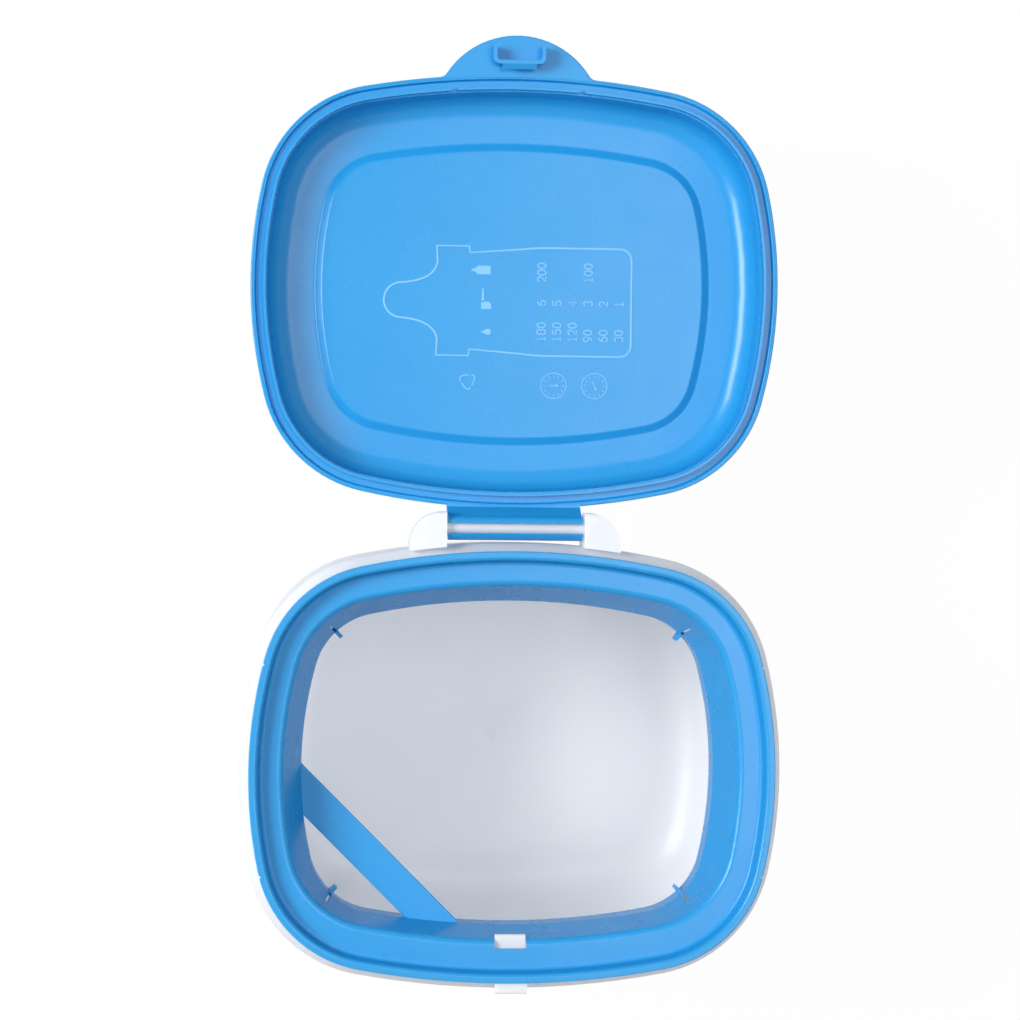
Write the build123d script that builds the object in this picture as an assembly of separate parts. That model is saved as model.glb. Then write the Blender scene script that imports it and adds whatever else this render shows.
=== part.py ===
from build123d import *
import math
import os

# A flip-lid storage box for baby milk powder, drawn with its lid opened flat.
# A white tub carries a blue frame in its mouth, with a bar that levels a scoop,
# and a blue lid that snaps on a bar between two ears at the back.
# Millimetres. The origin is the centre of the tub's flat base, +X is to the
# right, +Y to the hinge and +Z up.

# Plan of the rim, seen from above: eight tangent arcs, fuller at the front
rim_width = 168.2
rim_depth = 137.4
widest_line_forward = 2.4
side_radius = 145.0
front_radius = 270.0
back_radius = 235.0
corner_radius = 40.0

# Tub
tub_height = 117.5
tub_wall = 1.4
body_overhang = 2.9
shoulder_start = 2.5
shoulder_end = 7.5
body_draft = 1.6
foot_radius = 24.0
floor_margin = 27.0
gate_dimple_width = 6.4
gate_dimple_depth = 0.35
corner_rib_thickness = 1.2
corner_rib_reach = 0.6
corner_rib_foot = 1.5
corner_rib_gap = 1.5

# Leveller frame
frame_wall = 1.2
frame_fit = 0.15
lip_wall_slope = 0.7
shelf_drop = 5.5
shelf_edge_inset = 10.7
shelf_front_extra = 2.2
throat_side_inset = 16.9
throat_front_inset = 15.6
throat_back_inset = 16.4
throat_drop = 22.6
collar_length = 9.4
shelf_edge_rounding = 2.2
throat_edge_rounding = 0.5
leveller_width = 11.3
leveller_thickness = 1.8
leveller_distance = 48.1
leveller_direction = 225.0
leveller_step_down = 0.4
clip_thickness = 1.2
clip_reach = 2.6
clip_slit_length = 3.0
clip_slit_width = 0.9
pry_nick_depth = 0.65
pry_nick_back_y = 32.2
pry_nick_front_y = -35.0

# Slot in the front of the frame, and the tub's catch that stands in it
slot_width = 10.3
slot_depth = 4.5
slot_inset = 10.2
slot_height = 6.5
catch_play = 0.25
catch_step_down = 1.7
catch_thickness = 4.2

# Lid
lid_overhang = 1.05
lid_wall = 1.4
lid_seat_gap = 0.3
lid_inner_height = 14.0
lid_skirt_draft = 0.25
lid_ledge_depth = 1.5
lid_ledge_radius = 0.5
lid_wall_lean = 1.3
lid_cove_rise = 1.2
lid_cove_radius = 7.5
lid_channel_inset = 19.5
lid_step_width = 2.5
lid_step_height = 1.4
lid_panel_inset = 26.0
seal_rib_inset = 2.95
seal_rib_thickness = 0.8
seal_rib_depth = 0.85
seal_rib_step = 0.5
seal_rib_break = 2.0
seal_rib_break_x = 20.5

# Latch at the front
tab_reach = 12.7
tab_radius = 27.4
tab_thickness = 1.8
tab_blend_radius = 2.8
lug_width = 10.2
lug_reach = 0.7
lug_top_drop = 1.3
lug_height = 2.3
latch_gap = 0.25
latch_rib_width = 16.8
latch_rib_wall = 1.2
latch_rib_length = 5.9
latch_corner_radius = 2.0
latch_hook_width = 11.0
latch_hook_reach = 1.55
latch_hook_thickness = 1.3
latch_hook_gap = 0.3

# Hinge at the back
hinge_back = 7.3
hinge_drop = 6.0
hinge_bar_diameter = 4.0
hinge_play = 0.06
knuckle_length = 43.0
knuckle_wall = 1.85
knuckle_mouth = 3.3
leaf_thickness = 2.7
leaf_meeting_angle = 15.0
ear_gap = 0.5
ear_width = 11.6
ear_back_reach = 5.2
ear_top_drop = 1.6
ear_height = 16.5
ear_plan_radius = 10.6
ear_edge_radius = 1.6

# Edge rounding: of the thin mouldings, and of the free ends of their walls
edge_radius = 0.5
end_radius = 0.35

# Heights and places that follow
rim_top = tub_height + frame_wall
lip_land = tub_wall + frame_fit + frame_wall
shelf_z = rim_top - shelf_drop
throat_z = rim_top - throat_drop
collar_bottom_z = throat_z - collar_length
lid_seat_z = rim_top + lid_seat_gap
front_edge_y = -rim_depth / 2
back_edge_y = rim_depth / 2
widest_y = -widest_line_forward
hinge_y = back_edge_y + hinge_back
hinge_z = rim_top - hinge_drop
lug_outer_y = front_edge_y - body_overhang - lug_reach
lug_bottom_z = rim_top - lug_top_drop - lug_height
tall = 2 * tub_height
embed = tub_wall / 2


class Outline:
    """A closed plan line of eight tangent arcs, symmetric left to right."""

    def __init__(self, side, front, back, side_r, front_r, back_r, corner_r):
        self.side = side
        self.side_r = side_r
        self.corner_r = corner_r
        self.front = front
        self.back = back
        self.front_r = front_r
        self.back_r = back_r
        self.front_corner = self.corner_centre(front, front_r)
        self.back_corner = self.corner_centre(back, back_r)

    def corner_centre(self, reach, end_r):
        """Centre of the corner arc that touches the side arc and an end arc."""
        side_x = self.side - self.side_r
        end_y = reach - end_r
        near = self.side_r - self.corner_r
        far = end_r - self.corner_r
        apart = math.hypot(side_x, end_y)
        along = (near**2 - far**2 + apart**2) / (2 * apart)
        across = math.sqrt(near**2 - along**2)
        step_x = -side_x / apart
        step_y = end_y / apart
        return (side_x + along * step_x - across * step_y, along * step_y + across * step_x)

    def inset(self, side, front=None, back=None):
        """The line further in by a distance, or by three at the sides, front and back."""
        front = side if front is None else front
        back = side if back is None else back
        return Outline(
            self.side - side,
            self.front - front,
            self.back - back,
            self.side_r - side,
            self.front_r - front,
            self.back_r - back,
            self.corner_r - side,
        )

    def side_angles(self):
        """Angles at which the side arc ends, towards the front and the back."""
        side_x = self.side - self.side_r
        front_x, front_y = self.front_corner
        back_x, back_y = self.back_corner
        to_front = math.degrees(math.atan2(front_y, front_x - side_x))
        to_back = math.degrees(math.atan2(back_y, back_x - side_x))
        return to_front, to_back

    def end_angles(self):
        """Angles at which the front and the back arc begin."""
        front_x, front_y = self.front_corner
        back_x, back_y = self.back_corner
        front = math.degrees(math.atan2(front_y - self.front + self.front_r, front_x))
        back = math.degrees(math.atan2(back_y - self.back + self.back_r, back_x))
        return front, back

    def arcs(self):
        """Each arc as centre x, centre y, radius, start angle and sweep."""
        side_front, side_back = self.side_angles()
        end_front, end_back = self.end_angles()
        front_x, front_y = self.front_corner
        back_x, back_y = self.back_corner
        side_x = self.side - self.side_r
        corner_back = end_back - side_back
        corner_front = end_front - side_front
        rows = [
            (side_x, 0, self.side_r, -side_front, side_front + side_back),
            (back_x, back_y, self.corner_r, side_back, corner_back),
            (0, self.back - self.back_r, self.back_r, end_back, 180 - 2 * end_back),
            (-back_x, back_y, self.corner_r, 180 - end_back, corner_back),
            (-side_x, 0, self.side_r, 180 - side_back, side_back + side_front),
            (-front_x, -front_y, self.corner_r, 180 + side_front, corner_front),
            (0, self.front_r - self.front, self.front_r, 180 + end_front, 180 - 2 * end_front),
            (front_x, -front_y, self.corner_r, 360 - end_front, corner_front),
        ]
        return [(x, y + widest_y, radius, start, sweep) for x, y, radius, start, sweep in rows]

    def face(self, z):
        """The flat face inside the line, at a height."""
        edges = [CenterArc((x, y, z), radius, start, sweep) for x, y, radius, start, sweep in self.arcs()]
        return make_face(edges)

    def block(self, low, high):
        """The straight block that stands on the line between two heights."""
        return extrude(self.face(low), high - low, dir=(0, 0, 1))

    def corner_point(self, right, back):
        """The middle of a corner arc, and the angle of its outward direction."""
        rows = self.arcs()
        row = rows[{(1, 1): 1, (0, 1): 3, (0, 0): 5, (1, 0): 7}[(right, back)]]
        x, y, radius, start, sweep = row
        angle = start + sweep / 2
        reach_x = x + radius * math.cos(math.radians(angle))
        reach_y = y + radius * math.sin(math.radians(angle))
        return reach_x, reach_y, angle


def rim_outline():
    """The outer edge of the frame's lip."""
    front = rim_depth / 2 - widest_line_forward
    back = rim_depth / 2 + widest_line_forward
    return Outline(
        rim_width / 2, front, back, side_radius, front_radius, back_radius, corner_radius
    )


rim = rim_outline()


def follow(outline, section):
    """Carry a section round the outline. Its x is the distance outwards from it."""
    upright = Plane.XZ * section
    stretches = []
    for x, y, radius, start, sweep in outline.arcs():
        turned = revolve(Pos(radius, 0, 0) * upright, axis=Axis.Z, revolution_arc=sweep)
        stretches.append(Pos(x, y, 0) * Rot(0, 0, start) * turned)
    return Part() + stretches


def skin(points, radii, thickness, side):
    """A wall section: a rounded line and its parallel, with its first end rounded."""
    line = FilletPolyline(*points, radius=radii)
    wall = make_face(offset(line, amount=thickness, side=side).edges())
    start = Vector(*points[0])
    ends = []
    for corner in wall.vertices():
        reach = (Vector(*corner) - start).length
        if min(reach, abs(reach - thickness)) < 0.01:
            ends.append(corner)
    return fillet(ends, end_radius)


def side_prism(points, half_length, radii=0.0):
    """A prism along X from a closed outline in the YZ plane."""
    line = FilletPolyline(*points, radius=radii, close=True)
    return extrude(Plane.YZ * make_face(line), half_length, both=True)


def upright_box(x_size, y_low, y_high, z_low, z_high):
    """A box centred on X between two Y and two Z values."""
    middle = Pos(0, (y_low + y_high) / 2, (z_low + z_high) / 2)
    return middle * Box(x_size, y_high - y_low, z_high - z_low)


def tub_shell():
    """Wall and floor of the tub, with its shoulder below the rim."""
    points = [
        (0, tub_height),
        (0, tub_height - shoulder_start),
        (body_overhang, tub_height - shoulder_end),
        (body_overhang - body_draft, 0),
        (-floor_margin, 0),
    ]
    radii = [shoulder_start, shoulder_end - shoulder_start, foot_radius]
    wall = follow(rim, skin(points, radii, tub_wall, Side.RIGHT))
    floor = rim.inset(floor_margin).block(0, tub_wall)
    dimple_radius = (gate_dimple_width**2 / 4 + gate_dimple_depth**2) / (2 * gate_dimple_depth)
    dimple_z = tub_wall - gate_dimple_depth + dimple_radius
    return wall + floor - Pos(0, 0, dimple_z) * Sphere(dimple_radius)


def hinge_ears():
    """Two ears behind the tub's back wall, with the hinge bar between them."""
    inner_x = knuckle_length / 2 + ear_gap
    outer_x = inner_x + ear_width
    back_y = hinge_y + ear_back_reach
    top_z = rim_top - ear_top_drop
    root_y = back_edge_y - corner_radius / 2
    plan = make_face(
        FilletPolyline(
            (inner_x, root_y),
            (outer_x, root_y),
            (outer_x, back_y),
            (inner_x, back_y),
            radius=[0, 0, ear_plan_radius, 0],
            close=True,
        )
    )
    tower = Pos(0, 0, top_z - ear_height) * extrude(plan, ear_height, dir=(0, 0, 1))
    profile = [
        (root_y, top_z),
        (back_y, top_z),
        (back_y, hinge_z - ear_back_reach),
        (back_edge_y + body_overhang - tub_wall, top_z - ear_height),
        (root_y, top_z - ear_height),
    ]
    shape = side_prism(profile, outer_x + ear_width, [0, ear_edge_radius, ear_back_reach, 0, 0])
    hollow = rim.inset(embed - body_overhang).block(0, tall)
    ear = tower & (shape - hollow)
    bar = Pos(0, hinge_y, hinge_z) * Rot(0, 90, 0) * Cylinder(
        hinge_bar_diameter / 2, 2 * (inner_x + ear_width / 2)
    )
    return ear + mirror(ear, about=Plane.YZ) + bar


def latch_lug():
    """The lug on the front wall that the lid's latch hooks under."""
    root_y = front_edge_y + corner_radius / 2
    top_z = rim_top - lug_top_drop
    profile = [
        (root_y, top_z),
        (lug_outer_y + lug_reach / 2, top_z),
        (lug_outer_y, lug_bottom_z + lug_height / 2),
        (lug_outer_y, lug_bottom_z),
        (root_y, lug_bottom_z),
    ]
    lug = side_prism(profile, lug_width / 2, [0, edge_radius, edge_radius, edge_radius, 0])
    return lug - rim.inset(embed).block(0, tall)


def slot_box(play, z_low, z_high):
    """The block of the frame's front slot, smaller by a play on each side."""
    y_low = front_edge_y + slot_inset + play
    y_high = front_edge_y + slot_inset + slot_depth - play
    return upright_box(slot_width - 2 * play, y_low, y_high, z_low, z_high)


def front_catch():
    """An arm from the tub's front wall whose tip stands in the frame's slot."""
    top_z = shelf_z - catch_step_down
    tip_y = front_edge_y + slot_inset + slot_depth - catch_play
    width = slot_width - 2 * catch_play
    profile = [
        (front_edge_y - body_overhang, top_z),
        (tip_y, top_z),
        (tip_y, top_z - catch_thickness / 2),
        (tip_y - catch_thickness / 2, top_z - catch_thickness),
        (front_edge_y - body_overhang, top_z - catch_thickness),
    ]
    arm = side_prism(profile, width / 2, [0, edge_radius, edge_radius, 0, 0])
    return arm & rim.inset(embed - body_overhang).block(0, tall)


def at_corners(profile, thickness):
    """Four upright plates, one across each corner of the throat, from a radial profile."""
    throat = throat_outline()
    plate = extrude(Plane.XZ * profile, thickness / 2, both=True)
    plates = []
    for right in (0, 1):
        for back in (0, 1):
            x, y, angle = throat.corner_point(right, back)
            plates.append(Pos(x, y, 0) * Rot(0, 0, angle) * plate)
    return plates


def corner_ribs():
    """Four gussets in the tub's corners, below the frame's clips."""
    top_z = collar_bottom_z - corner_rib_gap
    profile = Polyline(
        (-corner_rib_reach, top_z),
        (corner_radius, top_z),
        (corner_radius, foot_radius),
        (throat_side_inset - corner_rib_foot, foot_radius),
        close=True,
    )
    wall_middle = make_face(
        Polyline(
            (body_overhang - embed, tub_height - shoulder_end),
            (body_overhang - body_draft - embed, 0),
            (-floor_margin, 0),
            (-floor_margin, tub_height - shoulder_end),
            close=True,
        )
    )
    ribs = Part() + at_corners(make_face(profile), corner_rib_thickness)
    return ribs & follow(rim, wall_middle)


def make_tub():
    """The white tub, moulded in one piece with its ears, bar, lug, catch and ribs."""
    body = tub_shell() + hinge_ears() + latch_lug() + front_catch() + corner_ribs()
    return body


def shelf_outline():
    """The inner edge of the frame's shelf, which is wider at the front."""
    front_inset = shelf_edge_inset + shelf_front_extra
    return rim.inset(shelf_edge_inset, front_inset, shelf_edge_inset)


def throat_outline():
    """The opening that the scoop goes through."""
    return rim.inset(throat_side_inset, throat_front_inset, throat_back_inset)


def frame_lip():
    """The lip that rests on the tub's rim, and the wall down to the shelf."""
    foot_inset = lip_land + lip_wall_slope
    points = [
        (0, rim_top),
        (-lip_land, rim_top),
        (-foot_inset, shelf_z),
        (-foot_inset - 2 * frame_wall, shelf_z),
    ]
    radii = [frame_wall + frame_fit / 2, frame_wall]
    return follow(rim, skin(points, radii, frame_wall, Side.LEFT))


def frame_funnel():
    """Shelf, funnel and collar as one shell with the throat left open."""
    shelf = shelf_outline()
    throat = throat_outline()
    plate_inset = lip_land + lip_wall_slope + frame_wall
    plate = rim.inset(plate_inset).block(shelf_z - frame_wall, shelf_z)
    outer_top = shelf.inset(-frame_wall).face(shelf_z - frame_wall)
    outer_low = throat.inset(-frame_wall).face(throat_z)
    outer = loft([outer_top, outer_low], ruled=True)
    outer += throat.inset(-frame_wall).block(collar_bottom_z, throat_z)
    inner = loft([shelf.face(shelf_z), throat.face(throat_z)], ruled=True)
    inner += throat.block(collar_bottom_z, throat_z)
    body = plate + outer - inner
    shelf_edges = [edge for edge in body.edges() if is_on_line(edge, shelf, shelf_z)]
    body = fillet(shelf_edges, shelf_edge_rounding)
    throat_edges = [edge for edge in body.edges() if is_on_line(edge, throat, throat_z)]
    return fillet(throat_edges, throat_edge_rounding)


def is_on_line(edge, outline, z):
    """Whether an edge is one of the arcs of an outline at a height."""
    middle = edge @ 0.5
    if abs(middle.Z - z) > 0.01:
        return False
    for x, y, radius, start, sweep in outline.arcs():
        reach = math.hypot(middle.X - x, middle.Y - y)
        angle = math.degrees(math.atan2(middle.Y - y, middle.X - x)) - start
        if abs(reach - radius) < 0.01 and -0.5 <= angle % 360 <= sweep + 0.5:
            return True
    return False


def leveller():
    """The straight bar across the front left corner that levels a scoop."""
    throat = throat_outline()
    far = leveller_distance + leveller_width
    top_z = throat_z - leveller_step_down
    bar = Pos((leveller_distance + far) / 2, 0, top_z - leveller_thickness / 2) * Box(
        leveller_width, 2 * rim_width, leveller_thickness
    )
    bar = Rot(0, 0, leveller_direction) * fillet(bar.edges().filter_by(Axis.Y), leveller_thickness / 4)
    return bar & throat.inset(-frame_wall / 2).block(collar_bottom_z, throat_z)


def clip_blades():
    """Four small upright blades on the collar, one in each corner."""
    profile = Polyline(
        (frame_wall / 2, throat_z),
        (-clip_reach, throat_z - clip_reach / 2),
        (-clip_reach, collar_bottom_z + clip_reach),
        (frame_wall / 2, collar_bottom_z),
        close=True,
    )
    return Part() + at_corners(make_face(profile), clip_thickness)


def clip_slits():
    """The slits through the funnel beside the blades."""
    half_height = (throat_drop - shelf_drop) / 2
    profile = Polyline(
        (0, throat_z - half_height),
        (clip_slit_length, throat_z - half_height),
        (clip_slit_length, throat_z + half_height),
        (0, throat_z + half_height),
        close=True,
    )
    return Part() + at_corners(make_face(profile), clip_slit_width)


def pry_nicks():
    """Nicks in the lip's outer edge at both sides, behind and in front of the middle."""
    x, y, radius, start, sweep = rim.arcs()[0]
    nick_side = pry_nick_depth * math.sqrt(2)
    nick = Pos(radius, 0, rim_top) * Rot(0, 0, 45) * Box(nick_side, nick_side, 4 * frame_wall)
    nicks = Part()
    for nick_y in (pry_nick_back_y, pry_nick_front_y):
        angle = math.degrees(math.asin((nick_y - y) / radius))
        nicks += Pos(x, y, 0) * Rot(0, 0, angle) * nick
    return nicks + mirror(nicks, about=Plane.YZ)


def make_leveller_frame():
    """The blue frame that clips into the tub's mouth."""
    body = frame_lip() + frame_funnel() + leveller() + clip_blades()
    body -= clip_slits()
    body -= pry_nicks()
    body -= slot_box(0, shelf_z - slot_height, rim_top)
    return body


def lid_shell():
    """Dome of the lid: skirt, ledge, wall, cove, channel and sunk panel, drawn closed."""
    inner_x = lid_overhang - lid_wall
    wall_x = -seal_rib_inset - seal_rib_thickness - seal_rib_step
    ledge_z = lid_seat_z + lid_ledge_depth
    top_z = lid_seat_z + lid_inner_height
    panel_z = top_z - lid_step_height
    points = [
        (inner_x, lid_seat_z),
        (inner_x - lid_skirt_draft, ledge_z),
        (wall_x, ledge_z),
        (wall_x - lid_wall_lean, top_z - lid_cove_rise),
        (-lid_channel_inset, top_z),
        (-lid_channel_inset - lid_step_width, panel_z),
        (-lid_panel_inset, panel_z),
    ]
    radii = [lid_ledge_radius, 0, lid_cove_radius, lid_wall, lid_wall]
    wall = follow(rim, skin(points, radii, lid_wall, Side.RIGHT))
    return wall + rim.inset(lid_panel_inset).block(panel_z, panel_z + lid_wall)


def seal_rib():
    """The thin rib on the lid's ledge that enters the frame's lip."""
    low = rim_top - seal_rib_depth
    ledge_z = lid_seat_z + lid_ledge_depth
    outer = rim.inset(seal_rib_inset).block(low, ledge_z + lid_wall / 2)
    inner = rim.inset(seal_rib_inset + seal_rib_thickness).block(low, ledge_z + lid_wall / 2)
    rib = outer - inner
    for side in (-1, 1):
        middle = Pos(side * seal_rib_break_x, front_edge_y, low)
        rib -= middle * Box(seal_rib_break, corner_radius / 2, 2 * (ledge_z - low))
    return rib


def latch_tab():
    """The round finger tab at the front of the lid's rim."""
    tip_y = front_edge_y - lid_overhang - tab_reach
    centre_y = tip_y + tab_radius
    base = rim.inset(-lid_overhang).face(lid_seat_z)
    disc = Pos(0, centre_y, lid_seat_z) * Circle(tab_radius)
    plan = base + disc
    corners = [
        vertex
        for vertex in plan.vertices()
        if abs(math.hypot(vertex.X, vertex.Y - centre_y) - tab_radius) < 0.01
        and vertex.Y < centre_y
    ]
    plan = fillet(corners, tab_blend_radius)
    plate = extrude(plan, tab_thickness, dir=(0, 0, 1))
    edges = outer_edges(plate, lid_seat_z, centre_y)
    edges += outer_edges(plate, lid_seat_z + tab_thickness, centre_y)
    plate = fillet(edges, edge_radius)
    return plate - rim.inset(-lid_overhang + lid_wall / 2).block(0, tall)


def outer_edges(plate, z, front_y):
    """Edges of a plate at a height that lie in front of a line."""
    return [edge for edge in plate.edges() if abs((edge @ 0.5).Z - z) < 0.01 and (edge @ 0.5).Y < front_y]


def latch_rib():
    """The U-shaped rib under the tab, and the hook that goes under the tub's lug."""
    wall_y = lug_outer_y - latch_gap
    hook_top = lug_bottom_z - latch_hook_gap
    low = hook_top - latch_hook_thickness
    half = latch_rib_width / 2
    length = latch_rib_length
    outer = make_face(
        FilletPolyline(
            (-half, wall_y - length),
            (half, wall_y - length),
            (half, wall_y),
            (-half, wall_y),
            radius=[0, 0, latch_corner_radius, latch_corner_radius],
            close=True,
        )
    )
    inner_half = half - latch_rib_wall
    inner = make_face(
        FilletPolyline(
            (-inner_half, wall_y - 2 * length),
            (inner_half, wall_y - 2 * length),
            (inner_half, wall_y - latch_rib_wall),
            (-inner_half, wall_y - latch_rib_wall),
            radius=[0, 0, latch_rib_wall, latch_rib_wall],
            close=True,
        )
    )
    rise = lid_seat_z + tab_thickness / 2 - low
    rib = Pos(0, 0, low) * extrude(outer - inner, rise, dir=(0, 0, 1))
    hook = [
        (wall_y - latch_rib_wall / 2, low),
        (wall_y, low),
        (wall_y + latch_hook_reach, hook_top),
        (wall_y - latch_rib_wall / 2, hook_top),
    ]
    return rib + side_prism(hook, latch_hook_width / 2)


def lid_knuckle():
    """The open clip that snaps over the hinge bar, and the leaf that carries it."""
    bore = hinge_bar_diameter / 2 + hinge_play
    outer = bore + knuckle_wall
    root_y = back_edge_y - corner_radius / 2
    meeting = math.radians(leaf_meeting_angle)
    leaf_line = Polyline(
        (root_y, lid_seat_z),
        (back_edge_y + lid_overhang / 2, lid_seat_z),
        (hinge_y - outer * math.cos(meeting), hinge_z + outer * math.sin(meeting)),
        (hinge_y, hinge_z),
        (hinge_y, hinge_z + outer),
        (back_edge_y + lid_overhang, lid_seat_z + leaf_thickness),
        (root_y, lid_seat_z + leaf_thickness),
        close=True,
    )
    ring = Pos(hinge_y, hinge_z) * Circle(outer)
    mouth = Pos(hinge_y, hinge_z - outer) * Rectangle(knuckle_mouth, 2 * outer)
    section = make_face(leaf_line) + ring - Pos(hinge_y, hinge_z) * Circle(bore) - mouth
    clip = extrude(Plane.YZ * section, knuckle_length / 2, both=True)
    return clip - rim.inset(-lid_overhang + lid_wall / 2).block(0, tall)


def make_lid():
    """The blue lid, drawn closed and then opened flat about the hinge bar."""
    body = lid_shell() + seal_rib() + latch_tab() + latch_rib() + lid_knuckle()
    hinge_line = Axis((0, hinge_y, hinge_z), (1, 0, 0))
    return body.rotate(hinge_line, -180)


os.makedirs("parts", exist_ok=True)
export_step(make_tub(), "parts/tub.step")
export_step(make_leveller_frame(), "parts/leveller_frame.step")
export_step(make_lid(), "parts/lid.step")
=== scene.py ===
"""A flip-lid milk powder box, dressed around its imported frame.

The three mouldings keep the shapes of the frame. This script gives them their
plastics, adds the raised feeding scale, the moulder's marks and the date dials
inside the lid, and sets up the studio that the box stands in.
"""

import logging
import math
from dataclasses import dataclass, field, replace
from enum import Enum

import bmesh
import bpy
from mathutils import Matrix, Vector
from mathutils.bvhtree import BVHTree


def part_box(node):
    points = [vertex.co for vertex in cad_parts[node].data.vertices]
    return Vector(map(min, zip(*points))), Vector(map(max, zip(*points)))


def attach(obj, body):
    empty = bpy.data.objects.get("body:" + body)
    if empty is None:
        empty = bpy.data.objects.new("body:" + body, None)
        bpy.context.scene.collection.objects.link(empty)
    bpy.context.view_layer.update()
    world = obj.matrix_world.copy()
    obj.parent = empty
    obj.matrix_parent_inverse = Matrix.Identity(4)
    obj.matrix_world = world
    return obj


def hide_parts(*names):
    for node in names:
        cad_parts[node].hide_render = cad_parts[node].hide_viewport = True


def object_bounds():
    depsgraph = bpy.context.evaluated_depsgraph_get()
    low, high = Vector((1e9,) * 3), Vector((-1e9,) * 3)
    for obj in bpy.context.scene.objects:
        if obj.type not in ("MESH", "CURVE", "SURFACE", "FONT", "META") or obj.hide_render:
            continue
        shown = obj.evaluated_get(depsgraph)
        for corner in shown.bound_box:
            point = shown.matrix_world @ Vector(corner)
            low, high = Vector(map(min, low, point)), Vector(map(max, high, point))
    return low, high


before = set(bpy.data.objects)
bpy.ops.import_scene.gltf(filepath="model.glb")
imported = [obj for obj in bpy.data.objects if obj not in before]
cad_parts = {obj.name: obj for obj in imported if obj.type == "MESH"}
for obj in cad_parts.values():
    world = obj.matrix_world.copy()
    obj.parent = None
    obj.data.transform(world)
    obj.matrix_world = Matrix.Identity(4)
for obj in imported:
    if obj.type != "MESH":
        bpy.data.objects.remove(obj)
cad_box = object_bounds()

log = logging.getLogger("milk_powder_box")

MILLIMETRE = 0.001
MERGE_DISTANCE = 1e-6
SHARP_ANGLE = math.radians(28.0)
LEVEL = 0.99999
RAY_START = 0.05

Point = tuple[float, float]
Colour = tuple[float, float, float]


class Socket(Enum):
    """Kinds of named inputs that a geometry tree takes."""

    LENGTH = "NodeSocketFloat"
    COUNT = "NodeSocketInt"
    MATERIAL = "NodeSocketMaterial"


class Ride(Enum):
    """The two bodies of the box."""

    TUB = "tub_body"
    LID = "lid_body"


# Materials


class ShaderTree:
    """Short calls for adding and linking the nodes of one material or world."""

    def __init__(self, tree: bpy.types.NodeTree) -> None:
        """Empties the tree and keeps it.

        Args:
            tree: The node tree of a material or a world.
        """
        self.tree = tree
        tree.nodes.clear()

    def add(self, kind: str, **settings: object) -> bpy.types.Node:
        """Adds a node.

        Args:
            kind: The node's type name.
            settings: Properties of the node, by name.

        Returns:
            The new node.
        """
        node = self.tree.nodes.new(kind)
        for name, value in settings.items():
            setattr(node, name, value)
        return node

    def link(self, source: bpy.types.NodeSocket, target: bpy.types.NodeSocket) -> None:
        """Joins an output socket to an input socket."""
        self.tree.links.new(source, target)


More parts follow.
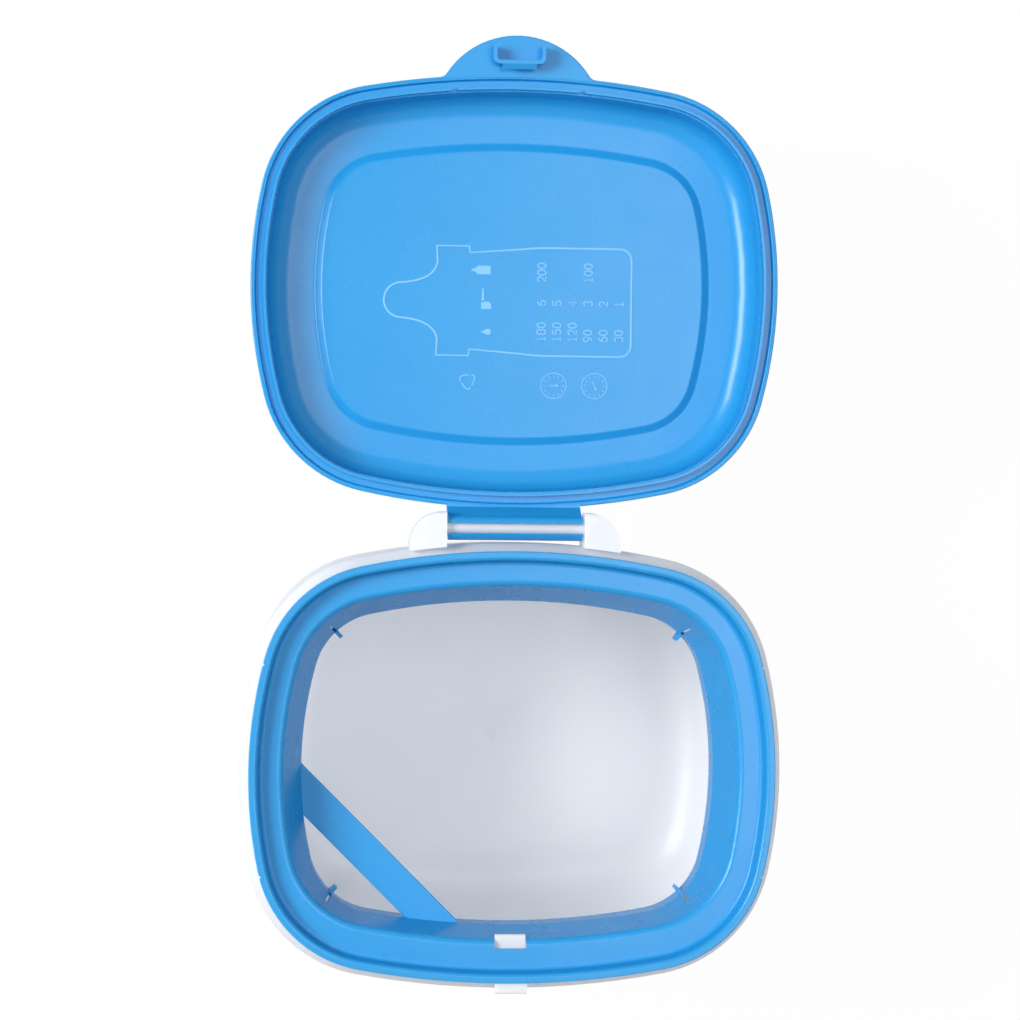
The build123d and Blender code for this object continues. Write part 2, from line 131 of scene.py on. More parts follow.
@dataclass(frozen=True)
class MouldedPlastic:
    """A moulded polypropylene: its colour, its gloss and its fine surface.

    The colour drifts slowly between two near tones, the gloss is uneven as it
    is where melt met the mould, and a fine grain breaks up the reflections.
    """

    name: str
    colour: Colour
    deep_colour: Colour
    roughness: float
    roughness_spread: float
    specular: float
    coat: float
    coat_roughness: float
    translucency: float
    drift_size: float = 0.045
    patch_size: float = 0.012
    grain_size: float = 0.00035
    grain_depth: float = 0.000004
    ripple_size: float = 0.022
    ripple_depth: float = 0.00006

    def noise(
        self, tree: ShaderTree, place: bpy.types.NodeSocket, size: float, detail: float
    ) -> bpy.types.Node:
        """Adds a noise whose lumps are about one size.

        Args:
            tree: The material's nodes.
            place: The coordinates the noise reads.
            size: Size of a lump, in metres.
            detail: Octaves of finer noise.

        Returns:
            The noise node.
        """
        noise = tree.add("ShaderNodeTexNoise", noise_dimensions="3D")
        noise.inputs["Scale"].default_value = 1.0 / size
        noise.inputs["Detail"].default_value = detail
        noise.inputs["Roughness"].default_value = 0.5
        tree.link(place, noise.inputs["Vector"])
        return noise

    def build(self) -> bpy.types.Material:
        """Builds the material.

        Returns:
            The material, named after the finish.
        """
        material = bpy.data.materials.new(self.name)
        material.use_nodes = True
        tree = ShaderTree(material.node_tree)
        output = tree.add("ShaderNodeOutputMaterial")
        shader = tree.add("ShaderNodeBsdfPrincipled")
        place = tree.add("ShaderNodeTexCoord").outputs["Object"]

        drift = self.noise(tree, place, self.drift_size, 2.0)
        tones = tree.add("ShaderNodeMix", data_type="RGBA")
        tones.inputs[6].default_value = (*self.deep_colour, 1.0)
        tones.inputs[7].default_value = (*self.colour, 1.0)
        spread = tree.add("ShaderNodeMapRange")
        spread.inputs["From Min"].default_value = 0.3
        spread.inputs["From Max"].default_value = 0.7
        tree.link(drift.outputs["Fac"], spread.inputs["Value"])
        tree.link(spread.outputs["Result"], tones.inputs["Factor"])
        tree.link(tones.outputs[2], shader.inputs["Base Color"])

        patches = self.noise(tree, place, self.patch_size, 3.0)
        gloss = tree.add("ShaderNodeMapRange")
        gloss.inputs["From Min"].default_value = 0.3
        gloss.inputs["From Max"].default_value = 0.7
        gloss.inputs["To Min"].default_value = self.roughness - self.roughness_spread
        gloss.inputs["To Max"].default_value = self.roughness + self.roughness_spread
        tree.link(patches.outputs["Fac"], gloss.inputs["Value"])
        tree.link(gloss.outputs["Result"], shader.inputs["Roughness"])

        ripple = self.noise(tree, place, self.ripple_size, 1.0)
        ripple_bump = tree.add("ShaderNodeBump")
        ripple_bump.inputs["Distance"].default_value = self.ripple_depth
        tree.link(ripple.outputs["Fac"], ripple_bump.inputs["Height"])
        grain = self.noise(tree, place, self.grain_size, 1.0)
        grain_bump = tree.add("ShaderNodeBump")
        grain_bump.inputs["Distance"].default_value = self.grain_depth
        tree.link(grain.outputs["Fac"], grain_bump.inputs["Height"])
        tree.link(ripple_bump.outputs["Normal"], grain_bump.inputs["Normal"])
        tree.link(grain_bump.outputs["Normal"], shader.inputs["Normal"])

        shader.inputs["Specular IOR Level"].default_value = self.specular
        shader.inputs["Coat Weight"].default_value = self.coat
        shader.inputs["Coat Roughness"].default_value = self.coat_roughness

        through = tree.add("ShaderNodeBsdfTranslucent")
        blend = tree.add("ShaderNodeMixShader")
        blend.inputs["Fac"].default_value = self.translucency
        tree.link(tones.outputs[2], through.inputs["Color"])
        tree.link(shader.outputs["BSDF"], blend.inputs[1])
        tree.link(through.outputs["BSDF"], blend.inputs[2])
        tree.link(blend.outputs["Shader"], output.inputs["Surface"])
        return material


BLUE_PLASTIC = MouldedPlastic(
    name="blue_polypropylene",
    colour=(0.022, 0.345, 0.74),
    deep_colour=(0.019, 0.334, 0.725),
    roughness=0.28,
    roughness_spread=0.02,
    specular=0.42,
    coat=0.0,
    coat_roughness=0.3,
    translucency=0.20,
)
# The raised marks get a lighter blue than the lid they are moulded with: a painted highlight for the
# light their raised edges catch.
LIT_MARK_PLASTIC = replace(
    BLUE_PLASTIC,
    name="blue_polypropylene_marks_painted_highlight",
    colour=(0.25, 0.60, 0.93),
    deep_colour=(0.24, 0.59, 0.92),
    roughness=0.42,
)
WHITE_PLASTIC = MouldedPlastic(
    name="white_polypropylene",
    colour=(0.915, 0.93, 0.955),
    deep_colour=(0.90, 0.918, 0.945),
    roughness=0.34,
    roughness_spread=0.03,
    specular=0.5,
    coat=0.1,
    coat_roughness=0.2,
    translucency=0.45,
)


# Meshes


def piece_from(mesh: bpy.types.Mesh, name: str, material: bpy.types.Material) -> bpy.types.Object:
    """Puts a mesh in the scene as a piece with one material.

    Args:
        mesh: The finished mesh, whose vertices hold its place.
        name: Name of the piece.
        material: Its only material.

    Returns:
        The piece, at the origin.
    """
    mesh.name = name
    mesh.materials.clear()
    mesh.materials.append(material)
    piece = bpy.data.objects.new(name, mesh)
    bpy.context.scene.collection.objects.link(piece)
    return piece


def smooth(mesh: bpy.types.Mesh, angle: float = SHARP_ANGLE) -> None:
    """Shades a mesh smooth and keeps its hard edges."""
    mesh.shade_smooth()
    mesh.set_sharp_from_angle(angle=angle)


def settle(piece: bpy.types.Object) -> bpy.types.Mesh:
    """Takes a piece's modifiers into a plain mesh and removes the piece.

    Args:
        piece: An object with live modifiers.

    Returns:
        The mesh that the modifiers made.
    """
    shown = piece.evaluated_get(bpy.context.evaluated_depsgraph_get())
    mesh = bpy.data.meshes.new_from_object(shown)
    source = piece.data
    bpy.data.objects.remove(piece)
    bpy.data.meshes.remove(source)
    return mesh


def level(mesh: bpy.types.Mesh) -> None:
    """Gives level faces exactly level normals, so that long triangles shade evenly."""
    normals = [corner.vector.copy() for corner in mesh.corner_normals]
    for face in mesh.polygons:
        if abs(face.normal.z) > LEVEL:
            for index in face.loop_indices:
                normals[index] = face.normal.copy()
    mesh.normals_split_custom_set(normals)


def merged_copy(node: str, name: str, material: bpy.types.Material) -> bpy.types.Object:
    """Copies a frame node, joins its loose triangles and evens its shading.

    Args:
        node: Name of the node.
        name: Name of the new piece.
        material: The piece's plastic.

    Returns:
        The new piece, in the node's place.
    """
    shell = bmesh.new()
    shell.from_mesh(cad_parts[node].data)
    bmesh.ops.remove_doubles(shell, verts=shell.verts, dist=MERGE_DISTANCE)
    shell.verts.index_update()
    places = [corner.co.copy() for corner in shell.verts]
    faces = [[corner.index for corner in face.verts] for face in shell.faces]
    shell.free()
    mesh = bpy.data.meshes.new(name)
    mesh.from_pydata(places, [], faces)
    smooth(mesh)
    draft = piece_from(mesh, name + "_draft", material)
    draft.modifiers.new("even_shading", "WEIGHTED_NORMAL").keep_sharp = True
    settled = settle(draft)
    level(settled)
    return piece_from(settled, name, material)


def surface_tree(mesh: bpy.types.Mesh) -> BVHTree:
    """Makes a search tree of a mesh's faces."""
    surface = bmesh.new()
    surface.from_mesh(mesh)
    tree = BVHTree.FromBMesh(surface)
    surface.free()
    return tree


def path_mesh(name: str, paths: list[list[Vector]]) -> bpy.types.Mesh:
    """Makes a mesh of bare edges, one run of edges for each path.

    Args:
        name: Name of the mesh.
        paths: Open or closed paths. A closed one ends where it starts.

    Returns:
        The mesh.
    """
    wires = bmesh.new()
    for path in paths:
        closed = (path[0] - path[-1]).length < MERGE_DISTANCE
        points = path[:-1] if closed else path
        corners = [wires.verts.new(point) for point in points]
        for start, end in zip(corners, corners[1:]):
            wires.edges.new((start, end))
        if closed:
            wires.edges.new((corners[-1], corners[0]))
    mesh = bpy.data.meshes.new(name)
    wires.to_mesh(mesh)
    wires.free()
    return mesh


def point_mesh(name: str, place: Vector) -> bpy.types.Mesh:
    """Makes a mesh of one point, which a tree sets its instances on."""
    mesh = bpy.data.meshes.new(name)
    mesh.from_pydata([place], [], [])
    return mesh


class GeometryTree:
    """A geometry node tree with named inputs."""

    def __init__(self, name: str, inputs: dict[str, Socket]) -> None:
        """Starts a tree that takes and gives geometry.

        Args:
            name: Name of the tree.
            inputs: Kind of each named input.
        """
        self.tree = bpy.data.node_groups.new(name, "GeometryNodeTree")
        face = self.tree.interface
        face.new_socket("Geometry", in_out="INPUT", socket_type="NodeSocketGeometry")
        face.new_socket("Geometry", in_out="OUTPUT", socket_type="NodeSocketGeometry")
        self.sockets = {
            title: face.new_socket(title, in_out="INPUT", socket_type=kind.value)
            for title, kind in inputs.items()
        }
        self.start = self.tree.nodes.new("NodeGroupInput")

    def add(self, kind: str, **settings: object) -> bpy.types.Node:
        """Adds a node.

        Args:
            kind: The node's type name, without its usual beginning.
            settings: Properties of the node, by name.

        Returns:
            The new node.
        """
        prefixes = {"Math": "ShaderNode", "CombineXYZ": "ShaderNode"}
        node = self.tree.nodes.new(prefixes.get(kind, "GeometryNode") + kind)
        for name, value in settings.items():
            setattr(node, name, value)
        return node

    def link(self, source: bpy.types.NodeSocket, target: bpy.types.NodeSocket) -> None:
        """Joins an output socket to an input socket."""
        self.tree.links.new(source, target)

    def value(self, title: str) -> bpy.types.NodeSocket:
        """The socket that carries a named input."""
        return self.start.outputs[title]

    def combine(self, **parts: bpy.types.NodeSocket) -> bpy.types.NodeSocket:
        """Makes a vector from sockets given as X, Y and Z."""
        node = self.add("CombineXYZ")
        for axis, source in parts.items():
            self.link(source, node.inputs[axis])
        return node.outputs["Vector"]

    def multiply(self, source: bpy.types.NodeSocket, factor: float) -> bpy.types.NodeSocket:
        """Scales a number."""
        node = self.add("Math", operation="MULTIPLY")
        self.link(source, node.inputs[0])
        node.inputs[1].default_value = factor
        return node.outputs["Value"]

    def finish(self, source: bpy.types.NodeSocket) -> None:
        """Realizes what was built, gives it its material and ends the tree.

        Args:
            source: The geometry to end with.
        """
        real = self.add("RealizeInstances")
        paint = self.add("SetMaterial")
        end = self.tree.nodes.new("NodeGroupOutput")
        self.link(source, real.inputs["Geometry"])
        self.link(real.outputs["Geometry"], paint.inputs["Geometry"])
        self.link(self.value("Material"), paint.inputs["Material"])
        self.link(paint.outputs["Geometry"], end.inputs["Geometry"])

    def run(self, mesh: bpy.types.Mesh, name: str, values: dict[str, object]) -> bpy.types.Mesh:
        """Runs the tree on a mesh.

        Args:
            mesh: What the tree starts from.
            name: Name of the draft object.
            values: A value for each named input.

        Returns:
            The plain mesh that the tree made.
        """
        draft = bpy.data.objects.new(name + "_draft", mesh)
        bpy.context.scene.collection.objects.link(draft)
        modifier = draft.modifiers.new("tree", "NODES")
        modifier.node_group = self.tree
        for title, value in values.items():
            modifier[self.sockets[title].identifier] = value
        return settle(draft)


def raised_line_tree() -> GeometryTree:
    """Builds the tree that lays a low rounded bead along paths.

    Returns:
        The tree, whose inputs are the bead's width and height.
    """
    tree = GeometryTree(
        "raised_line",
        {"Bead width": Socket.LENGTH, "Bead height": Socket.LENGTH, "Material": Socket.MATERIAL},
    )
    curve = tree.add("MeshToCurve")
    upright = tree.add("SetCurveNormal", mode="Z_UP")
    profile = tree.add("CurvePrimitiveQuadrilateral")
    rounded = tree.add("FilletCurve", mode="POLY")
    rounded.inputs["Count"].default_value = 2
    sweep = tree.add("CurveToMesh")
    sweep.inputs["Fill Caps"].default_value = True
    tree.link(tree.start.outputs["Geometry"], curve.inputs["Mesh"])
    tree.link(curve.outputs["Curve"], upright.inputs["Curve"])
    tree.link(tree.value("Bead width"), profile.inputs["Width"])
    tree.link(tree.value("Bead height"), profile.inputs["Height"])
    tree.link(profile.outputs["Curve"], rounded.inputs["Curve"])
    tree.link(tree.multiply(tree.value("Bead height"), 0.4), rounded.inputs["Radius"])
    tree.link(upright.outputs["Curve"], sweep.inputs["Curve"])
    tree.link(rounded.outputs["Curve"], sweep.inputs["Profile Curve"])
    tree.finish(sweep.outputs["Mesh"])
    return tree


def tick_tree() -> GeometryTree:
    """Builds the tree that sets a ring of short ticks at each point of a mesh.

    Returns:
        The tree, whose inputs are the ring's radius and the ticks' count and size.
    """
    tree = GeometryTree(
        "ring_of_ticks",
        {
            "Ring radius": Socket.LENGTH,
            "Ticks": Socket.COUNT,
            "Tick length": Socket.LENGTH,
            "Tick width": Socket.LENGTH,
            "Tick height": Socket.LENGTH,
            "Material": Socket.MATERIAL,
        },
    )
    ring = tree.add("MeshCircle")
    tree.link(tree.value("Ticks"), ring.inputs["Vertices"])
    tree.link(tree.value("Ring radius"), ring.inputs["Radius"])
    tick = tree.add("MeshCube")
    size = tree.combine(
        X=tree.value("Tick length"), Y=tree.value("Tick width"), Z=tree.value("Tick height")
    )
    tree.link(size, tick.inputs["Size"])
    outwards = tree.tree.nodes.new("FunctionNodeAlignRotationToVector")
    outwards.axis = "X"
    tree.link(tree.add("InputPosition").outputs["Position"], outwards.inputs["Vector"])
    set_round = tree.add("InstanceOnPoints")
    tree.link(ring.outputs["Mesh"], set_round.inputs["Points"])
    tree.link(tick.outputs["Mesh"], set_round.inputs["Instance"])
    tree.link(outwards.outputs["Rotation"], set_round.inputs["Rotation"])
    placed = tree.add("InstanceOnPoints")
    tree.link(tree.start.outputs["Geometry"], placed.inputs["Points"])
    tree.link(set_round.outputs["Instances"], placed.inputs["Instance"])
    tree.finish(placed.outputs["Instances"])
    return tree


# Lines and figures


def arc(centre: Point, radius: float, start: float, end: float, steps: int = 10) -> list[Point]:
    """Points along an arc.

    Args:
        centre: Centre of the arc.
        radius: Its radius.
        start: First angle, in degrees.
        end: Last angle, in degrees.
        steps: Number of chords.

    Returns:
        The points, both ends included.
    """
    turns = [math.radians(start + (end - start) * step / steps) for step in range(steps + 1)]
    return [(centre[0] + radius * math.cos(turn), centre[1] + radius * math.sin(turn)) for turn in turns]


def bend(start: Point, pull: Point, end: Point, steps: int = 12) -> list[Point]:
    """Points along a curve that leaves one end and meets the other towards a pull point."""
    points = []
    for step in range(steps + 1):
        share = step / steps
        first, middle, last = (1 - share) ** 2, 2 * share * (1 - share), share**2
        points.append(
            tuple(first * a + middle * b + last * c for a, b, c in zip(start, pull, end))
        )
    return points


class Figure:
    """Plain single-stroke figures on a body of 0.6 by 1."""

    WIDTH = 0.6

    @classmethod
    def ring(cls, low: float, high: float) -> list[Point]:
        """An upright oval between two heights."""
        half_width = cls.WIDTH / 2
        half_height = (high - low) / 2
        middle = (low + high) / 2
        oval = arc((0, 0), 1.0, 90, 450, 18)
        return [(half_width + half_width * x, middle + half_height * y) for x, y in oval]

    @classmethod
    def strokes(cls, digit: str) -> list[list[Point]]:
        """Strokes of one digit.

        Args:
            digit: A character from 0 to 9.

        Returns:
            The strokes, as paths in units of the figure's height.
        """
        wide = cls.WIDTH
        half = wide / 2
        upper_bowl = arc((half, 0.74), 0.26, 160, -90, 12)
        lower_bowl = arc((half, 0.24), 0.27, 90, -160, 12)
        drawn = {
            "0": [cls.ring(0, 1)],
            "1": [[(0.12, 0.78), (half, 1.0), (half, 0.0)], [(0.08, 0.0), (wide - 0.08, 0.0)]],
            "2": [arc((half, 0.72), 0.28, 165, -35, 12) + [(0.02, 0.0), (wide, 0.0)]],
            "3": [upper_bowl, lower_bowl],
            "4": [[(0.44, 0.0), (0.44, 1.0), (0.0, 0.3), (wide, 0.3)]],
            "5": [[(wide, 1.0), (0.08, 1.0), (0.05, 0.56)] + arc((half, 0.32), 0.31, 125, -150, 14)],
            "6": [cls.ring(0, 0.6), bend((0.01, 0.34), (0.04, 0.9), (0.48, 1.0))],
            "8": [cls.ring(0, 0.54), cls.ring(0.54, 1.0)],
            "9": [cls.ring(0.4, 1.0), bend((wide - 0.01, 0.66), (wide - 0.04, 0.1), (0.12, 0.0))],
        }
        return drawn[digit]


@dataclass
class PanelPlane:
    """The flat inner face of the opened lid, which carries the raised marks."""

    height: float
    reading_turn: float = 90.0

    def place(self, point: Point, lift: float) -> Vector:
        """A point of the panel, in metres, lifted off its face.

        Args:
            point: Place in the frame's plan, in millimetres.
            lift: Distance above the face, in metres.

        Returns:
            The place in the frame.
        """
        return Vector((point[0] * MILLIMETRE, point[1] * MILLIMETRE, self.height + lift))

    def turned(self, local: Point, origin: Point) -> Point:
        """Turns a figure's own point so that it reads upwards, and moves it to its place."""
        turn = math.radians(self.reading_turn)
        x, y = local
        return (
            origin[0] + x * math.cos(turn) - y * math.sin(turn),
            origin[1] + x * math.sin(turn) + y * math.cos(turn),
        )


# The three mouldings


@dataclass
class Moulding:
    """One of the box's injection mouldings, which keeps the frame node's shape."""

    node: str
    body: Ride
    record_slot: str
    finish: bpy.types.Material

    def build(self) -> bpy.types.Object:
        """Makes the moulding's visible skin in place of its node.

        Returns:
            The skin.
        """
        skin = merged_copy(self.node, self.node + "_skin", self.finish)
        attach(skin, self.body.value)
        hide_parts(self.node)
        log.info("%s: %d faces", skin.name, len(skin.data.polygons))
        return skin


@dataclass
class LidMarks:
    """Raised marks on the inside of the lid.

    Lengths are in millimetres. The scale shows a feeding bottle lying on its
    side, with columns of plain numbers. Two date dials and a sorting triangle
    stand beside it.
    """

    panel: PanelPlane
    # The marks' plastic is a lighter blue than the lid, a painted highlight standing in for light on
    # their raised edges.
    plastic: bpy.types.Material
    line_width: float = 0.62
    line_height: float = 0.24
    sunk: float = 0.06
    figure_height: float = 2.7
    figure_stroke: float = 0.46
    figure_pitch: float = 2.2
    column_pitch: float = 5.08
    first_column: float = 10.8
    bottle_axis: float = 149.7
    bottle_tip: float = -42.0
    bottle_end: float = 38.9
    teat_radius: float = 5.7
    collar_start: float = -24.9
    collar_end: float = -14.3
    collar_half: float = 17.8
    neck_half: float = 15.7
    body_half: float = 17.6
    shoulder_end: float = 9.0
    corner_radius: float = 3.8
    scale_rows: dict[float, list[str]] = field(
        default_factory=lambda: {
            136.9: ["180", "150", "120", "90", "60", "30"],
            148.5: ["6", "5", "4", "3", "2", "1"],
            156.3: ["200", "", "", "100", "", ""],
        }
    )
    dial_centres: tuple[Point, Point] = ((13.7, 122.4), (27.1, 122.5))
    dial_pointers: tuple[float, float] = (2.0, 292.0)
    dial_radius: float = 4.15
    triangle_centre: Point = (-14.5, 123.6)
    triangle_radius: float = 3.9
    triangle_short_arm: float = 0.55

    def dress(self, mesh: bpy.types.Mesh, name: str) -> bpy.types.Object:
        """Makes a mark's mesh a piece that rides on the lid.

        Args:
            mesh: The mark's mesh.
            name: Name of the piece.

        Returns:
            The piece.
        """
        smooth(mesh)
        piece = piece_from(mesh, name, self.plastic)
        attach(piece, Ride.LID.value)
        log.info("%s: %d faces", name, len(mesh.polygons))
        return piece

    def bead(self, name: str, paths: list[list[Point]], width: float) -> bpy.types.Object:
        """Lays a raised line along paths on the panel.

        Args:
            name: Name of the piece.
            paths: Paths on the panel's plan.
            width: Width of the line.

        Returns:
            The piece.
        """
        lift = (self.line_height / 2 - self.sunk) * MILLIMETRE
        places = [[self.panel.place(point, lift) for point in path] for path in paths]
        mesh = self.line_tree.run(
            path_mesh(name, places),
            name,
            {
                "Bead width": width * MILLIMETRE,
                "Bead height": self.line_height * MILLIMETRE,
                "Material": self.plastic,
            },
        )
        return self.dress(mesh, name)

    def plate(self, name: str, outlines: list[list[Point]], height: float) -> bpy.types.Object:
        """Raises flat shapes from the panel.

        Args:
            name: Name of the piece.
            outlines: Closed outlines on the panel's plan.
            height: Height of the shapes above the panel.

        Returns:
            The piece.
        """
        shapes = bmesh.new()
        for outline in outlines:
            places = [self.panel.place(point, -self.sunk * MILLIMETRE) for point in outline]
            corners = [shapes.verts.new(place) for place in places]
            low = shapes.faces.new(corners)
            grown = bmesh.ops.extrude_face_region(shapes, geom=[low])
            top = [item for item in grown["geom"] if isinstance(item, bmesh.types.BMVert)]
            rise = Vector((0, 0, (height + self.sunk) * MILLIMETRE))
            bmesh.ops.translate(shapes, verts=top, vec=rise)
        bmesh.ops.recalc_face_normals(shapes, faces=shapes.faces)
        mesh = bpy.data.meshes.new(name)
        shapes.to_mesh(mesh)
        shapes.free()
        return self.dress(mesh, name)

    def half_bottle(self) -> list[Point]:
        """One side of the bottle's outline, from its tip to its end, as distances from its axis."""
        tip_centre = (self.bottle_tip + self.teat_radius, 0.0)
        teat = arc(tip_centre, self.teat_radius, 180, 95, 10)
        flare_start = teat[-1]
        flare = bend(flare_start, (self.collar_start - 0.6, 6.4), (self.collar_start + 0.3, 12.6))
        collar = [
            (self.collar_start, self.collar_half),
            (self.collar_end, self.collar_half),
            (self.collar_end + 0.3, self.neck_half),
        ]
        shoulder = bend(
            (self.shoulder_end - 6.0, self.body_half - 0.55),
            (self.shoulder_end - 2.0, self.body_half),
            (self.shoulder_end + 3.0, self.body_half),
            6,
        )
        corner_centre = (self.bottle_end - self.corner_radius, self.body_half - self.corner_radius)
        corner = arc(corner_centre, self.corner_radius, 90, 0, 8)
        return teat + flare[1:] + collar + shoulder + corner

    def bottle_outline(self) -> bpy.types.Object:
        """Builds the outline of the feeding bottle.

        Returns:
            The piece.
        """
        half = self.half_bottle()
        upper = [(x, self.bottle_axis + y) for x, y in half]
        lower = [(x, self.bottle_axis - y) for x, y in reversed(half)]
        return self.bead("lid_bottle_outline", [upper + lower[:-1] + [upper[0]]], self.line_width)

    def numbers(self) -> bpy.types.Object:
        """Builds the columns of plain numbers inside the bottle.

        Returns:
            The piece.
        """
        paths = []
        for row, words in self.scale_rows.items():
            for column, word in enumerate(words):
                for place, digit in enumerate(word):
                    across = self.first_column + column * self.column_pitch
                    origin = (across, row + place * self.figure_pitch)
                    for stroke in Figure.strokes(digit):
                        sized = [(x * self.figure_height, y * self.figure_height) for x, y in stroke]
                        paths.append([self.panel.turned(point, origin) for point in sized])
        return self.bead("lid_scale_numbers", paths, self.figure_stroke)

    def icons(self) -> list[bpy.types.Object]:
        """Builds the bottle, scoop and drop that head the three rows of numbers.

        Returns:
            The three pieces.
        """
        bottle = [(-7.3, 158.4), (-7.3, 161.2), (-11.6, 161.2), (-12.2, 160.4)]
        bottle += [(-13.6, 160.1), (-13.6, 159.5), (-12.2, 159.2), (-11.6, 158.4)]
        handle = [(-10.1, 153.8), (-9.5, 153.8), (-9.3, 149.4), (-10.1, 149.4)]
        bowl = [(-10.3, 149.6), (-8.4, 149.6)] + arc((-8.6, 147.9), 1.7, 88, -30, 8)
        bowl += [(-8.6, 147.2), (-10.3, 147.0)]
        drop = bend((-10.4, 139.7), (-8.6, 140.6), (-8.0, 140.7), 5) + arc((-8.0, 139.7), 1.0, 80, -80, 8)
        drop += bend((-8.0, 138.7), (-8.6, 138.8), (-10.4, 139.7), 5)[:-1]
        height = self.line_height - self.sunk
        return [
            self.plate("lid_bottle_icon", [bottle], height),
            self.plate("lid_scoop_icon", [handle, bowl], height),
            self.plate("lid_drop_icon", [drop], height),
        ]

    def dials(self) -> list[bpy.types.Object]:
        """Builds the two date dials, each with its ring, ticks and pointer.

        Returns:
            The pieces.
        """
        pieces = []
        for index, (centre, pointer) in enumerate(zip(self.dial_centres, self.dial_pointers), start=1):
            ring = arc(centre, self.dial_radius, 0, 360, 48)
            turn = math.radians(pointer)
            ahead = (math.cos(turn), math.sin(turn))
            across = (-ahead[1], ahead[0])

            def reach(along: float, aside: float) -> Point:
                """A point of the pointer, along and across its direction."""
                return (
                    centre[0] + along * ahead[0] + aside * across[0],
                    centre[1] + along * ahead[1] + aside * across[1],
                )

            shaft = [reach(-1.6, 0), reach(1.5, 0)]
            head = [reach(0.7, 0.5), reach(1.6, 0), reach(0.7, -0.5)]
            pieces.append(self.bead(f"lid_date_dial_{index}", [ring, shaft, head], 0.34))
            ticks = self.tick_tree.run(
                point_mesh("dial_middle", self.panel.place(centre, 0.0)),
                "dial_ticks",
                {
                    "Ring radius": 0.76 * self.dial_radius * MILLIMETRE,
                    "Ticks": 12,
                    "Tick length": 0.7 * MILLIMETRE,
                    "Tick width": 0.24 * MILLIMETRE,
                    "Tick height": self.line_height * MILLIMETRE,
                    "Material": self.plastic,
                },
            )
            pieces.append(self.dress(ticks, f"lid_dial_ticks_{index}"))
        return pieces

    def triangle(self) -> bpy.types.Object:
        """Builds the sorting triangle, three bent strokes that chase each other.

        Returns:
            The piece.
        """
        radius = self.triangle_radius
        strokes = []
        for turn in (-90, 30, 150):
            corner = (
                self.triangle_centre[0] + radius * math.cos(math.radians(turn)),
                self.triangle_centre[1] + radius * math.sin(math.radians(turn)),
            )
            before = math.radians(turn + 150)
            after = math.radians(turn - 150)
            short = self.triangle_short_arm * radius
            start = (corner[0] + short * math.cos(before), corner[1] + short * math.sin(before))
            end = (corner[0] + radius * math.cos(after), corner[1] + radius * math.sin(after))
            strokes.append(bend(start, corner, end, 8))
        return self.bead("lid_sorting_triangle", strokes, 0.42)

    def build(self) -> None:
        """Builds every mark."""
        self.line_tree = raised_line_tree()
        self.tick_tree = tick_tree()
        self.bottle_outline()
        self.numbers()
        self.icons()
        self.dials()
        self.triangle()


@dataclass
class InsertMarks:
    """Faint steps that the mould's exchangeable inserts leave inside the lid.

    Each is a patch of the lid's own surface, raised by a few hundredths of a
    millimetre. Lengths are in millimetres.
    """

    skin: bpy.types.Object
    plastic: bpy.types.Material
    rise: float = 0.06
    depth: float = 0.25
    pitch: float = 0.8
    patches: tuple[tuple[str, Point, Point], ...] = (
        ("front", (-6.4, 207.3), (4.7, 213.0)),
        ("left", (-39.8, 94.6), (-28.0, 98.2)),
        ("right", (27.6, 94.6), (38.6, 98.0)),
    )

    def drape(self, tree: BVHTree, x: float, y: float) -> Vector:
        """The lid's surface under a point of the plan."""
        above = Vector((x * MILLIMETRE, y * MILLIMETRE, cad_box[1][2] + RAY_START))
        hit = tree.ray_cast(above, Vector((0, 0, -1)))
        return hit[0]

    def patch(self, tree: BVHTree, name: str, low: Point, high: Point) -> bpy.types.Object:
        """Builds one patch over a rectangle of the plan.

        Args:
            tree: The lid's surface.
            name: Where the patch is.
            low: The rectangle's near left corner.
            high: The rectangle's far right corner.

        Returns:
            The piece.
        """
        across = max(2, round((high[0] - low[0]) / self.pitch))
        along = max(2, round((high[1] - low[1]) / self.pitch))
        shape = bmesh.new()
        grid = [
            [
                shape.verts.new(
                    self.drape(
                        tree,
                        low[0] + (high[0] - low[0]) * i / across,
                        low[1] + (high[1] - low[1]) * j / along,
                    )
                    + Vector((0, 0, self.rise * MILLIMETRE))
                )
                for j in range(along + 1)
            ]
            for i in range(across + 1)
        ]
        faces = [
            shape.faces.new((grid[i][j], grid[i + 1][j], grid[i + 1][j + 1], grid[i][j + 1]))
            for i in range(across)
            for j in range(along)
        ]
        grown = bmesh.ops.extrude_face_region(shape, geom=faces)
        low_verts = [item for item in grown["geom"] if isinstance(item, bmesh.types.BMVert)]
        bmesh.ops.translate(shape, verts=low_verts, vec=Vector((0, 0, -self.depth * MILLIMETRE)))
        bmesh.ops.recalc_face_normals(shape, faces=shape.faces)
        mesh = bpy.data.meshes.new(name)
        shape.to_mesh(mesh)
        shape.free()
        smooth(mesh)
        piece = piece_from(mesh, "lid_insert_mark_" + name, self.plastic)
        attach(piece, Ride.LID.value)
        log.info("%s: %d faces", piece.name, len(mesh.polygons))
        return piece

    def build(self) -> None:
        """Builds every patch."""
        tree = surface_tree(self.skin.data)
        for name, low, high in self.patches:
            self.patch(tree, name, low, high)


# The studio


@dataclass
class SoftBox:
    """A rectangular lamp that faces the box."""

    name: str
    place: tuple[float, float, float]
    target: tuple[float, float, float]
    width: float
    height: float
    power: float

    def build(self) -> None:
        """Hangs the lamp and turns it to its target."""
        lamp = bpy.data.lights.new(self.name, "AREA")
        lamp.shape = "RECTANGLE"
        lamp.size = self.width
        lamp.size_y = self.height
        lamp.energy = self.power
        holder = bpy.data.objects.new(self.name, lamp)
        holder.location = self.place
        look = Vector(self.target) - Vector(self.place)
        holder.rotation_euler = look.to_track_quat("-Z", "Y").to_euler()
        bpy.context.scene.collection.objects.link(holder)


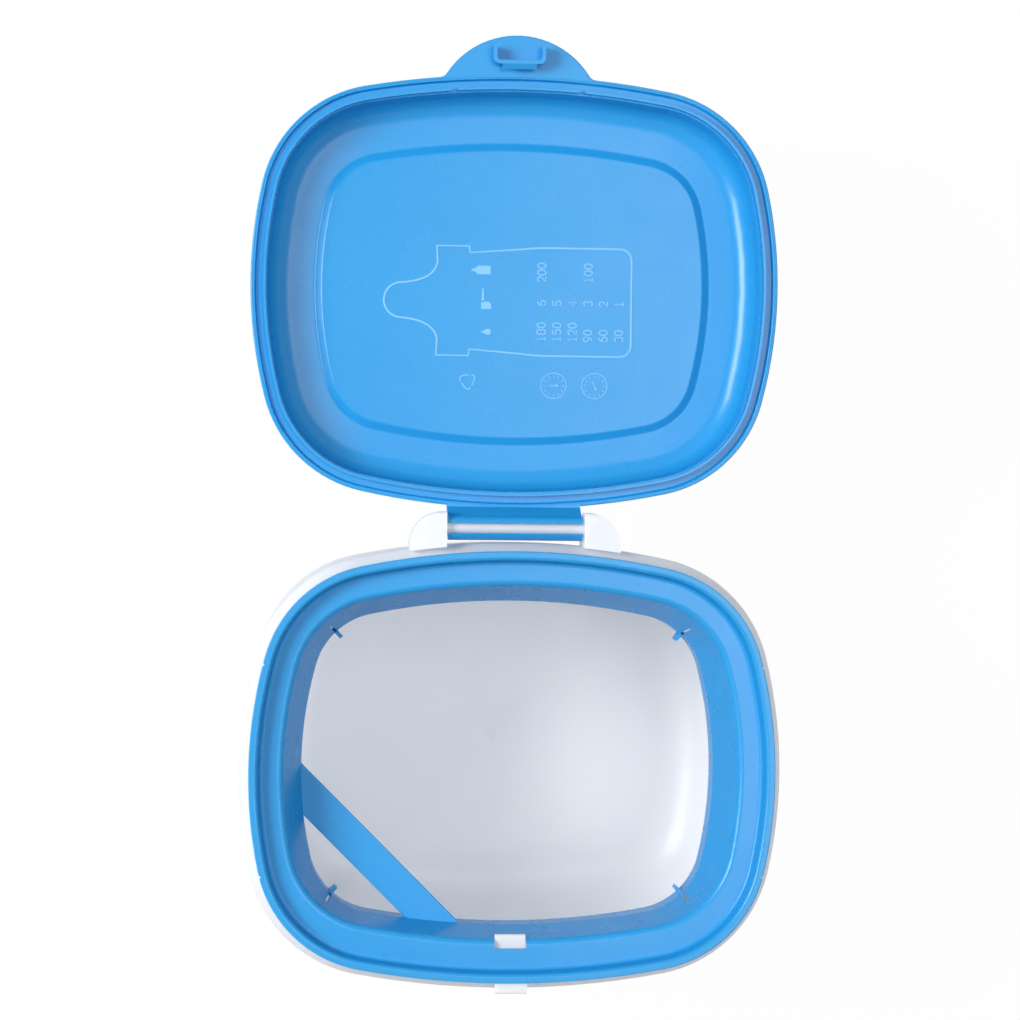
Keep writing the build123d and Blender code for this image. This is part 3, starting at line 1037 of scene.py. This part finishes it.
@dataclass
class Studio:
    """Floor, white surround, lamps and camera."""

    floor_size: float = 6.0
    floor_drop: float = 0.0003
    floor_white: float = 0.9
    backdrop_share: float = 0.96
    ambient: float = 0.42
    camera_place: tuple[float, float, float] = (-0.0773, 0.0860, 1.0462)
    camera_turn: tuple[float, float, float] = (-0.307, -4.629, 0.638)
    camera_view: float = 19.745
    lamps: tuple[SoftBox, ...] = (
        SoftBox("window_left", (-1.12, 0.30, 1.12), (0.0, 0.08, 0.1), 0.6, 0.6, 23.5),
        SoftBox("top_fill", (0.33, 0.10, 1.55), (0.0, 0.08, 0.1), 0.8, 0.45, 6.0),
    )

    def seen_directly(self, tree: ShaderTree) -> bpy.types.NodeSocket:
        """A factor that is 1 for camera, glossy and transmission rays."""
        path = tree.add("ShaderNodeLightPath")
        first = tree.add("ShaderNodeMath", operation="MAXIMUM")
        second = tree.add("ShaderNodeMath", operation="MAXIMUM")
        tree.link(path.outputs["Is Camera Ray"], first.inputs[0])
        tree.link(path.outputs["Is Glossy Ray"], first.inputs[1])
        tree.link(first.outputs["Value"], second.inputs[0])
        tree.link(path.outputs["Is Transmission Ray"], second.inputs[1])
        return second.outputs["Value"]

    def build_world(self) -> None:
        """Makes a white surround that lights the box only softly."""
        world = bpy.data.worlds.new("white_surround")
        world.use_nodes = True
        bpy.context.scene.world = world
        tree = ShaderTree(world.node_tree)
        output = tree.add("ShaderNodeOutputWorld")
        glow = tree.add("ShaderNodeBackground")
        glow.inputs["Color"].default_value = (1.0, 1.0, 1.0, 1.0)
        level = tree.add("ShaderNodeMapRange")
        level.inputs["To Min"].default_value = self.ambient
        level.inputs["To Max"].default_value = 1.0
        tree.link(self.seen_directly(tree), level.inputs["Value"])
        tree.link(level.outputs["Result"], glow.inputs["Strength"])
        tree.link(glow.outputs["Background"], output.inputs["Surface"])

    def build_floor(self) -> None:
        """Lays a pale floor that keeps the box's shadow, just clear of the tub's underside."""
        material = bpy.data.materials.new("studio_floor")
        material.use_nodes = True
        tree = ShaderTree(material.node_tree)
        output = tree.add("ShaderNodeOutputMaterial")
        matt = tree.add("ShaderNodeBsdfDiffuse")
        matt.inputs["Color"].default_value = (*(self.floor_white,) * 3, 1.0)
        light = tree.add("ShaderNodeEmission")
        share = tree.add("ShaderNodeMath", operation="MULTIPLY")
        share.inputs[1].default_value = self.backdrop_share
        blend = tree.add("ShaderNodeMixShader")
        tree.link(self.seen_directly(tree), share.inputs[0])
        tree.link(share.outputs["Value"], blend.inputs["Fac"])
        tree.link(matt.outputs["BSDF"], blend.inputs[1])
        tree.link(light.outputs["Emission"], blend.inputs[2])
        tree.link(blend.outputs["Shader"], output.inputs["Surface"])
        half = self.floor_size / 2
        low = -self.floor_drop
        corners = [(-half, -half, low), (half, -half, low), (half, half, low), (-half, half, low)]
        mesh = bpy.data.meshes.new("studio_floor")
        mesh.from_pydata(corners, [], [(0, 1, 2, 3)])
        piece_from(mesh, "studio_floor", material)

    def build_camera(self) -> None:
        """Sets the camera where the photograph was taken from."""
        camera = bpy.data.cameras.new("photo_camera")
        camera.angle = math.radians(self.camera_view)
        camera.clip_start = 0.05
        holder = bpy.data.objects.new("photo_camera", camera)
        holder.location = self.camera_place
        holder.rotation_euler = [math.radians(turn) for turn in self.camera_turn]
        bpy.context.scene.collection.objects.link(holder)
        bpy.context.scene.camera = holder

    def build(self) -> None:
        """Builds the whole studio."""
        self.build_world()
        self.build_floor()
        self.build_camera()
        for lamp in self.lamps:
            lamp.build()
        bpy.context.scene.view_settings.view_transform = "Standard"


def panel_height(skin: bpy.types.Object) -> float:
    """Height of the lid panel's inner face, read off the skin at its middle."""
    low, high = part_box("lid")
    middle = Vector(((low[0] + high[0]) / 2, (low[1] + high[1]) / 2, high[2] + RAY_START))
    return surface_tree(skin.data).ray_cast(middle, Vector((0, 0, -1)))[0].z


def main() -> None:
    """Builds the box and its studio."""
    logging.basicConfig(level=logging.INFO, format="%(message)s")
    blue = BLUE_PLASTIC.build()
    white = WHITE_PLASTIC.build()
    # The marks' lighter blue is a painted highlight.
    highlight_painted_marks = LIT_MARK_PLASTIC.build()
    Moulding("tub", Ride.TUB, "white_plastic", white).build()
    Moulding("leveller_frame", Ride.TUB, "blue_plastic", blue).build()
    lid = Moulding("lid", Ride.LID, "blue_plastic", blue).build()
    LidMarks(PanelPlane(panel_height(lid)), highlight_painted_marks).build()
    InsertMarks(lid, blue).build()
    Studio().build()


if __name__ == "__main__":
    main()
